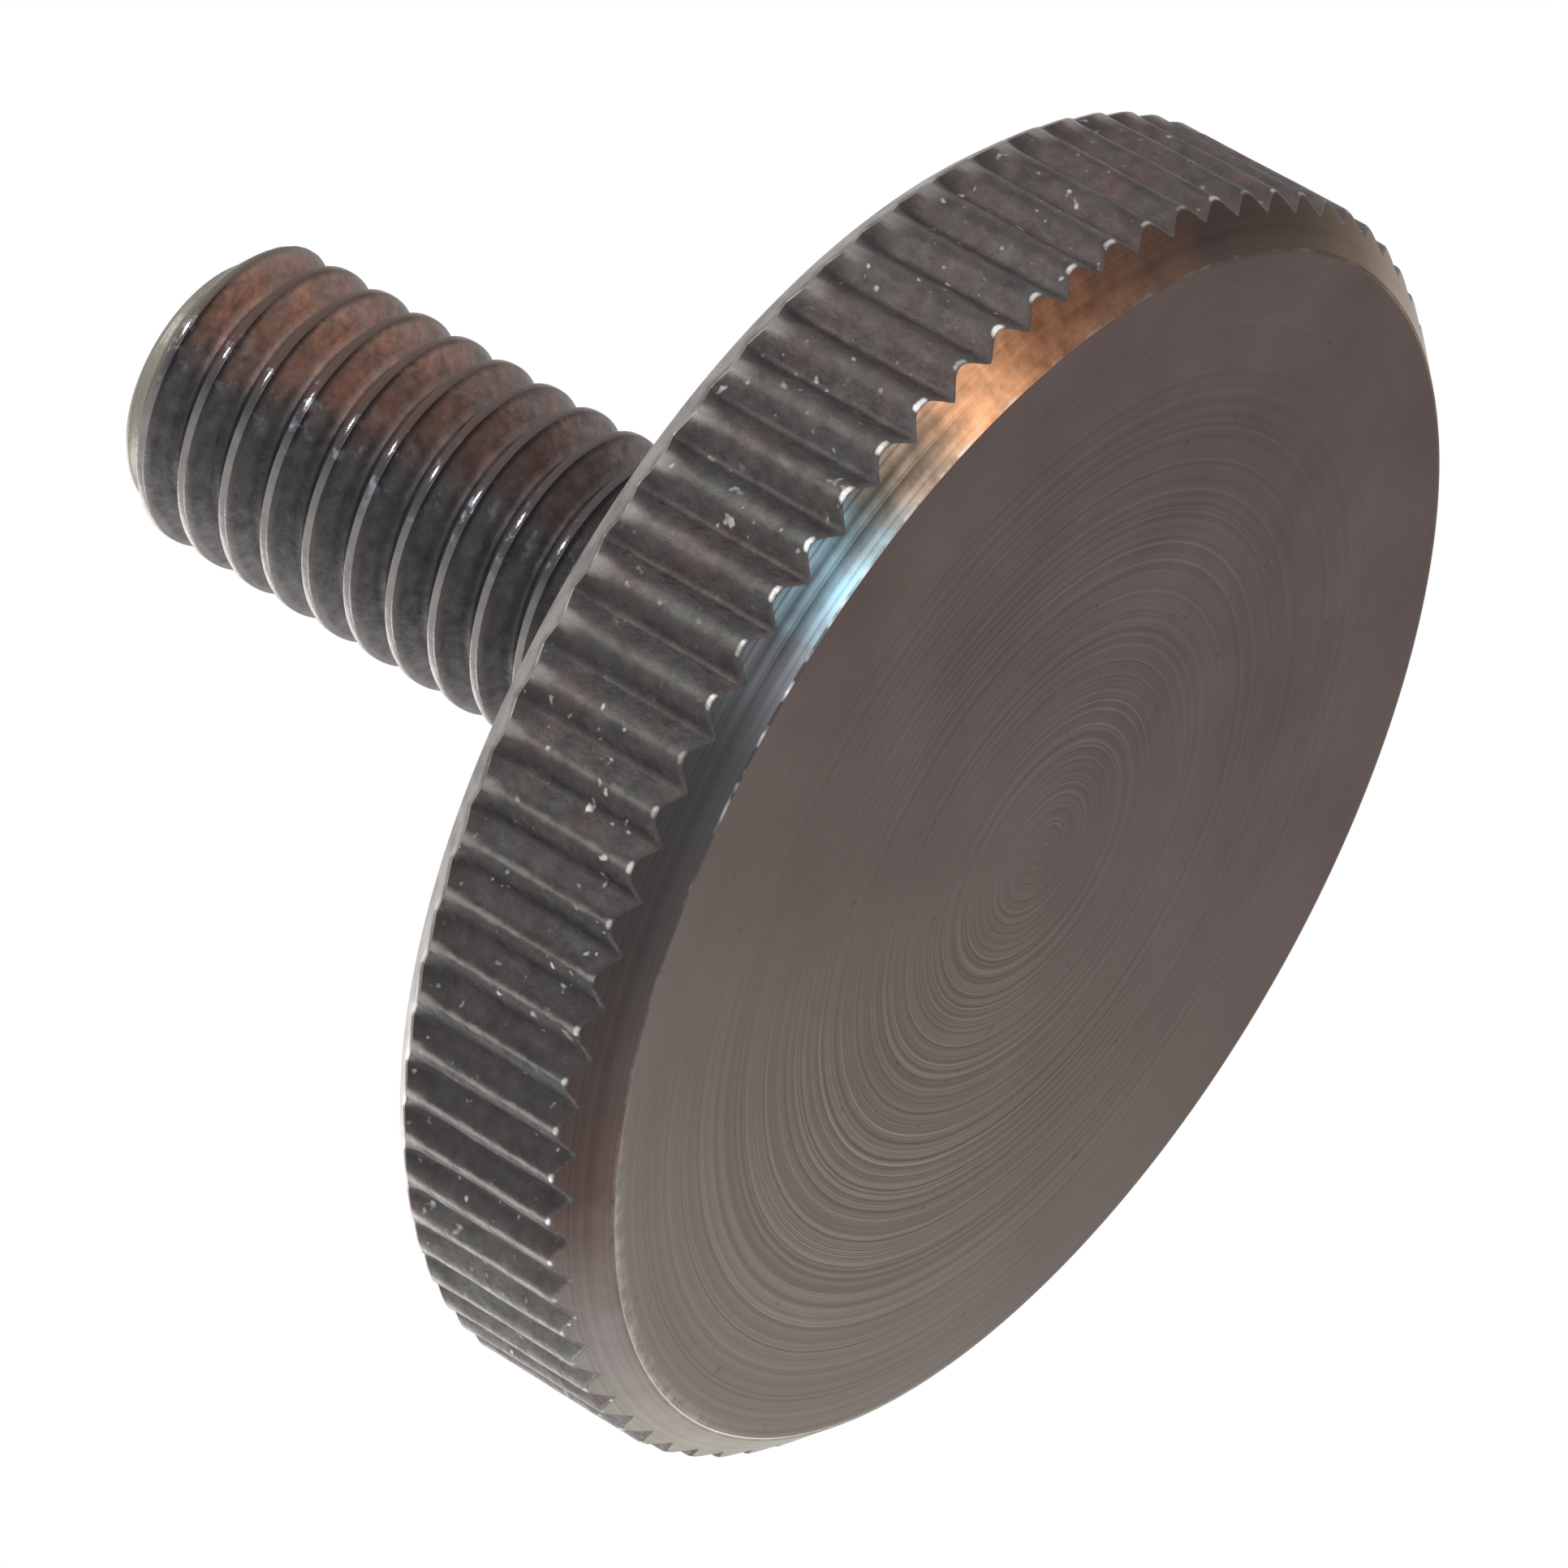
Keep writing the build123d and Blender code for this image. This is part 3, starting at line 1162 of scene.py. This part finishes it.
@dataclass(frozen=True)
class WornThread:
    """The thread: black oxide on the flanks, red-brown in places, crests worn to grey, painted shade in the
    roots, on one side's crests and away from the bloom's reddest side, and painted glint flecks.
    """

    name: str = "worn_thread"
    flank: Colour = colour(0.166, 0.160, 0.165)
    rust: Colour = colour(0.345, 0.228, 0.186)
    red: Colour = colour(0.465, 0.244, 0.174)
    deep: Colour = colour(0.175, 0.096, 0.080)
    # Painted shade for the thread's roots
    root: Colour = colour(0.035, 0.032, 0.034)
    # Painted shade on the crests of one side, dark and brown
    dark_crest: Colour = colour(0.060, 0.058, 0.065)
    brown_crest: Colour = colour(0.092, 0.058, 0.048)
    crest: Colour = colour(0.285, 0.272, 0.258)
    worn_end: Colour = colour(0.290, 0.272, 0.236)
    glint_fleck: Colour = colour(0.40, 0.44, 0.50)
    glance: Colour = colour(0.62, 0.56, 0.54)
    metallic: float = 0.55
    roughness: Fade = Fade(0.0, 1.0, 0.40, 0.12)

    # Red-brown bloom: by side, height and noise, deeper lower down, and painted shade making it darker away
    # from its reddest side
    broken_grain: Grain = Grain(1.6, 4.0, 0.6)
    bloom_side: Side = Side(0.40, 0.07, 0.18)
    bloom_height: Fade = Fade(9.0, 17.5, 0.40, 1.0)
    bloom_rise: float = 0.4
    bloom: Fade = Fade(0.45, 1.1, 0.0, 0.9)
    red_noise: Fade = Fade(0.4, 0.65)
    deep_height: Fade = Fade(16.0, 9.0, 0.0, 0.6)
    painted_shade_side: Side = Side(0.34, 0.05, 0.14, 0.0, 0.6)

    # Painted shade in the thread's roots, less of it in the bloom, and a mottle
    root_shade_crest: Fade = Fade(0.05, 0.45, 0.92, 0.0)
    root_shade_bloom: Fade = Fade(0.5, 1.1, 1.0, 0.35)
    mottle_grain: Grain = Grain(3.0, 4.0, 0.65)
    mottle: Fade = Fade(0.3, 0.7, 0.65, 1.35)

    # Crests: painted shade makes them darker than the flanks on one side, brown in the bloom; elsewhere steel
    # where they are rubbed
    dark_crest_side: Side = Side(0.35, 0.10, 0.18, 0.05, 1.0)
    dark_crest_fade: Fade = Fade(0.80, 0.95)
    brown_bloom: Fade = Fade(0.5, 1.0)
    rubbed_grain: Grain = Grain(2.4)
    rubbed: Fade = Fade(0.35, 0.60, 0.55, 1.0)
    wear_rise: float = 0.25
    worn: Fade = Fade(0.88, 1.03)
    end_height: Fade = Fade(18.7, 19.1)

    # The glint's side: painted highlight flecks on the flanks, and smooth crests
    fleck_grain: Grain = Grain(3.6, 3.0, 0.6)
    flecks: Fade = Fade(0.54, 0.68, 0.0, 0.8)
    fleck_side: Side = Side(GLINT, 0.01, 0.06)
    fleck_crest: Fade = Fade(0.2, 0.5)
    shine_crest: Fade = Fade(0.85, 1.05)
    shine_side: Side = Side(GLINT, 0.05, 0.12, 1.0, 0.2)
    pit_grain: Grain = Grain(4.5, 4.0, 0.6)
    pit_shine: Fade = Fade(0.2, 0.9, 1.0, 0.25)
    pit_depth: float = 0.017

    def flanks(self, graph: Graph, share: Socket, height: Socket, broken: Socket, bloom: Socket) -> Socket:
        """Black oxide, and the red-brown bloom over it, with painted shade away from the bloom's reddest
        side.

        Args:
            graph: The material's tree.
            share: Angle as a share of a turn.
            height: Height in mm.
            broken: Noise that breaks the bloom up.
            bloom: How strong the bloom is.

        Returns:
            The colour.
        """
        rusty = graph.mix(graph.fade(broken, self.red_noise), self.rust, self.red)
        rusty = graph.mix(graph.fade(height, self.deep_height), rusty, self.deep)
        # Painted shade: the bloom darker away from its reddest side
        rusty = graph.mix(graph.near(share, self.painted_shade_side), rusty, self.deep)
        return graph.mix(graph.fade(bloom, self.bloom), self.flank, rusty)

    def material(self) -> bpy.types.Material:
        """The crest value mixes oxide and steel, and a broad patch round one side has a red-brown bloom;
        roots and one side's crests get painted shade, and flanks by the glint painted flecks.
        """
        graph = Graph(bpy.data.materials.new(self.name))
        place = graph.place()
        _, share, height = graph.polar(place)
        crest = graph.attribute("crest")
        broken = graph.noise(place, self.broken_grain)
        bloom = graph.product(graph.near(share, self.bloom_side), graph.fade(height, self.bloom_height))
        bloom = graph.plus(bloom, broken, self.bloom_rise)
        base = self.flanks(graph, share, height, broken, bloom)
        # Painted shade: the thread's roots darker, as shade falls in them
        root = graph.product(graph.fade(crest, self.root_shade_crest), graph.fade(bloom, self.root_shade_bloom))
        base = graph.mix(root, base, self.root)
        base = graph.tone(base, graph.fade(graph.noise(place, self.mottle_grain), self.mottle))

        # Painted shade: on one side the crests darker than the flanks; the local named oxide holds this
        # painted shade
        bare = graph.near(share, self.dark_crest_side)
        oxide = graph.mix(graph.fade(bloom, self.brown_bloom), self.dark_crest, self.brown_crest)
        shaded_crests = graph.product(graph.fade(crest, self.dark_crest_fade), graph.math("SUBTRACT", 1.0, bare))
        base = graph.mix(shaded_crests, base, oxide)
        level = graph.plus(crest, broken, self.wear_rise)
        rubbed = graph.fade(graph.noise(place, self.rubbed_grain), self.rubbed)
        base = graph.mix(graph.product(graph.fade(level, self.worn), bare, rubbed), base, self.crest)
        base = graph.mix(graph.fade(height, self.end_height), base, self.worn_end)

        # Painted highlight: pale blue flecks on the flanks beside the glint
        flecks = graph.fade(graph.noise(place, self.fleck_grain), self.flecks)
        proud = graph.fade(crest, self.fleck_crest)
        flecks = graph.product(flecks, graph.near(share, self.fleck_side), proud)
        base = graph.mix(flecks, base, self.glint_fleck)
        shine = graph.product(graph.fade(level, self.shine_crest), graph.near(share, self.shine_side))
        pits = graph.product(graph.noise(place, self.pit_grain), graph.fade(shine, self.pit_shine))
        return graph.finish({
            "Base Color": base,
            "Metallic": self.metallic,
            "Roughness": graph.fade(shine, self.roughness),
            "Normal": graph.bump(pits, self.pit_depth),
            "Specular Tint": self.glance,
        })


@dataclass(frozen=True)
class FacedTip:
    """The shank's end: dull oxide with rings from the tool."""

    name: str = "faced_tip"
    dark: Colour = colour(0.055, 0.047, 0.044)
    pale: Colour = colour(0.120, 0.105, 0.096)
    metallic: float = 0.75
    roughness: float = 0.4
    rings: Lines = Lines(7.0, 3.0)
    ring_depth: float = 0.004
    shade: Fade = Fade(0.3, 0.7)

    def material(self) -> bpy.types.Material:
        """Rings by radius in colour and bump."""
        graph = Graph(bpy.data.materials.new(self.name))
        radius, _, _ = graph.polar(graph.place())
        rings = graph.lines(radius, self.rings)
        return graph.finish({
            "Base Color": graph.mix(graph.fade(rings, self.shade), self.dark, self.pale),
            "Metallic": self.metallic,
            "Roughness": self.roughness,
            "Normal": graph.bump(rings, self.ring_depth),
        })


@dataclass
class ThumbScrew:
    """The whole screw as one welded skin with a finish for each zone."""

    head: Head
    shank: Shank

    def build(self) -> bpy.types.Object:
        """Welds the head's and the shank's patches into one object, with its wear values and zones.

        Returns:
            The object.
        """
        patches, coarse = self.head.build()
        patches += self.shank.build(self.head.back_stitch[1], coarse)
        skin = weld(patches)
        mesh = bpy.data.meshes.new(PIECE)
        mesh.from_pydata(skin.points * MM, [], skin.triangles)
        mesh.polygons.foreach_set("material_index", skin.zones.astype(np.int32))
        mesh.polygons.foreach_set("use_smooth", np.ones(len(skin.triangles), bool))
        for name in ("crest", "edge"):
            values = mesh.attributes.new(name, "FLOAT", "POINT")
            values.data.foreach_set("value", getattr(skin, name).astype(np.float32))
        mesh.update()
        piece = bpy.data.objects.new(PIECE, mesh)
        bpy.context.scene.collection.objects.link(piece)
        return piece

    def dress(self, piece: bpy.types.Object) -> None:
        """Gives each zone its finish, in the order of Zone.

        Args:
            piece: The screw's object.
        """
        finishes = {
            Zone.FACE: TurnedFace(),
            Zone.BEVEL: BrightBevel(),
            Zone.KNURL: WornKnurl(),
            Zone.BACK: BlackenedBack(),
            Zone.THREAD: WornThread(),
            Zone.TIP: FacedTip(),
        }
        for zone in Zone:
            piece.data.materials.append(finishes[zone].material())


def heading(bearing: float, elevation: float) -> Vector:
    """The unit vector of a bearing and an elevation in degrees."""
    around, up = math.radians(bearing), math.radians(elevation)
    return Vector((math.cos(around) * math.cos(up), math.sin(around) * math.cos(up), math.sin(up)))


@dataclass(frozen=True)
class Lamp:
    """A soft box: its bearing and elevation from the screw, distance and width in mm, and its level.

    A level of 1 lights a white surface that faces the lamp to white.
    """

    name: str
    bearing: float
    elevation: float
    distance: float
    width: float
    level: float
    tint: tuple[float, float, float] = (1.0, 1.0, 1.0)

    def build(self, target: Vector) -> None:
        """Places the lamp so that it faces the target.

        Args:
            target: The point it faces, in metres.
        """
        out = heading(self.bearing, self.elevation)
        data = bpy.data.lights.new(self.name, "AREA")
        data.shape = "DISK"
        data.size = self.width * MM
        data.energy = self.level * (math.pi * self.distance * MM) ** 2
        data.color = self.tint
        lamp = bpy.data.objects.new(self.name, data)
        lamp.location = target + out * self.distance * MM
        lamp.rotation_mode = "QUATERNION"
        lamp.rotation_quaternion = out.to_track_quat("Z", "Y")
        bpy.context.scene.collection.objects.link(lamp)


@dataclass
class Studio:
    """A pale floor that shows from above only, a white surround, soft boxes and the photograph's view."""

    # Floor: its size, how far it lies under the head, where it fades out, and its colour
    floor_width: float = 1600.0
    floor_drop: float = 0.02
    floor_fade: Fade = Fade(30.0, 130.0, 1.0, 0.0)
    floor_colour: Colour = colour(0.86, 0.86, 0.86)

    # Rays that leave the screw pass through the floor, and those deeper than this meet it
    hidden_depth: float = 1.5

    # Surround: its level as light, and as what the camera and reflections see
    surround: Fade = Fade(0.0, 1.0, 0.42, 1.0)
    white: Colour = colour(1.0, 1.0, 1.0)

    # Soft boxes, and the point that they face
    target: tuple[float, float, float] = (0.0, 0.0, 6.0)
    lamps: tuple[Lamp, ...] = (
        Lamp("front_box", -71.0, -64.0, 320.0, 100.0, 0.08, (0.88, 0.96, 1.0)),
        Lamp("glint_box", -67.5, 27.0, 300.0, 38.0, 0.18),
        Lamp("near_box", -72.0, -18.0, 300.0, 90.0, 0.12),
        Lamp("far_box", 108.0, -27.0, 320.0, 110.0, 0.11),
        Lamp("top_box", 142.0, 42.0, 380.0, 260.0, 0.45),
        Lamp("low_left_box", 178.0, -10.0, 260.0, 160.0, 0.40),
    )

    # Camera: the point it aims at, the way there, its roll, and its lens
    aim: tuple[float, float, float] = (-1.201, -0.062, 5.064)
    distance: float = 172.44
    bearing: float = 92.947
    elevation: float = 26.557
    roll: float = -59.905
    lens: float = 222.4
    sensor: float = 36.0
    clip_start: float = 10.0

    def build(self) -> None:
        """Makes the floor, the surround, the lamps and the camera."""
        bpy.context.scene.view_settings.view_transform = "Standard"
        self.build_floor()
        self.build_surround()
        for lamp in self.lamps:
            lamp.build(Vector(self.target) * MM)
        self.build_camera()

    def build_floor(self) -> None:
        """A level square just under the head. Seen from below it is clear, as the view looks up past it."""
        half = self.floor_width * MM / 2
        level = -self.floor_drop * MM
        mesh = bpy.data.meshes.new("floor")
        corners = [(-half, -half, level), (half, -half, level), (half, half, level), (-half, half, level)]
        mesh.from_pydata(corners, [], [(0, 1, 2, 3)])
        mesh.materials.append(self.floor_material())
        floor = bpy.data.objects.new("floor", mesh)
        bpy.context.scene.collection.objects.link(floor)

    def floor_material(self) -> bpy.types.Material:
        """Matt paint to the camera from above and to later bounces, clear from below and far out."""
        graph = Graph(bpy.data.materials.new("pale_floor"))
        rays = graph.node("ShaderNodeLightPath", {}).outputs
        later = graph.math("GREATER_THAN", rays["Ray Depth"], self.hidden_depth)
        seen = graph.math("MAXIMUM", rays["Is Camera Ray"], later)
        behind = graph.node("ShaderNodeNewGeometry", {}).outputs["Backfacing"]
        shown = graph.product(seen, graph.math("SUBTRACT", 1.0, behind))
        reach, _, _ = graph.polar(graph.place())
        shown = graph.product(shown, graph.fade(reach, self.floor_fade))
        paint = graph.node("ShaderNodeBsdfDiffuse", {"Color": self.floor_colour}).outputs[0]
        clear = graph.node("ShaderNodeBsdfTransparent", {}).outputs[0]
        both = graph.node("ShaderNodeMixShader", {0: shown, 1: clear, 2: paint}).outputs[0]
        graph.node("ShaderNodeOutputMaterial", {0: both})
        return graph.owner

    def build_surround(self) -> None:
        """White to the camera and in reflections, and a softer level as light."""
        graph = Graph(bpy.data.worlds.new("surround"))
        rays = graph.node("ShaderNodeLightPath", {}).outputs
        seen = graph.math("MAXIMUM", rays["Is Camera Ray"], rays["Is Glossy Ray"])
        seen = graph.math("MAXIMUM", seen, rays["Is Transmission Ray"])
        strength = graph.fade(seen, self.surround)
        light = graph.node("ShaderNodeBackground", {"Color": self.white, "Strength": strength}).outputs[0]
        graph.node("ShaderNodeOutputWorld", {0: light})
        bpy.context.scene.world = graph.owner

    def build_camera(self) -> None:
        """The photograph's view: an aim point, the way to it, a roll about that line and the lens."""
        ahead = heading(self.bearing, self.elevation)
        side = ahead.cross(Vector((0, 0, 1))).normalized()
        rise = side.cross(ahead)
        tilt = math.radians(self.roll)
        right = side * math.cos(tilt) + rise * math.sin(tilt)
        top = rise * math.cos(tilt) - side * math.sin(tilt)
        data = bpy.data.cameras.new("camera")
        data.sensor_width = self.sensor
        data.lens = self.lens
        data.clip_start = self.clip_start * MM
        camera = bpy.data.objects.new("camera", data)
        turned = Matrix((right, top, -ahead)).transposed().to_4x4()
        camera.matrix_world = Matrix.Translation((Vector(self.aim) - ahead * self.distance) * MM) @ turned
        bpy.context.scene.collection.objects.link(camera)
        bpy.context.scene.camera = camera


def main() -> None:
    """Builds the screw and the studio."""
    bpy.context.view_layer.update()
    _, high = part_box(NODE)
    head = Head(radius=high.x / MM)
    shank = Shank(bottom=head.height, top=high.z / MM)
    screw = ThumbScrew(head, shank)
    piece = screw.build()
    screw.dress(piece)
    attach(piece, BODY)
    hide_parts(NODE)
    log.info("%s: %d points, %d triangles", piece.name, len(piece.data.vertices), len(piece.data.polygons))
    Studio().build()


if __name__ == "__main__":
    main()
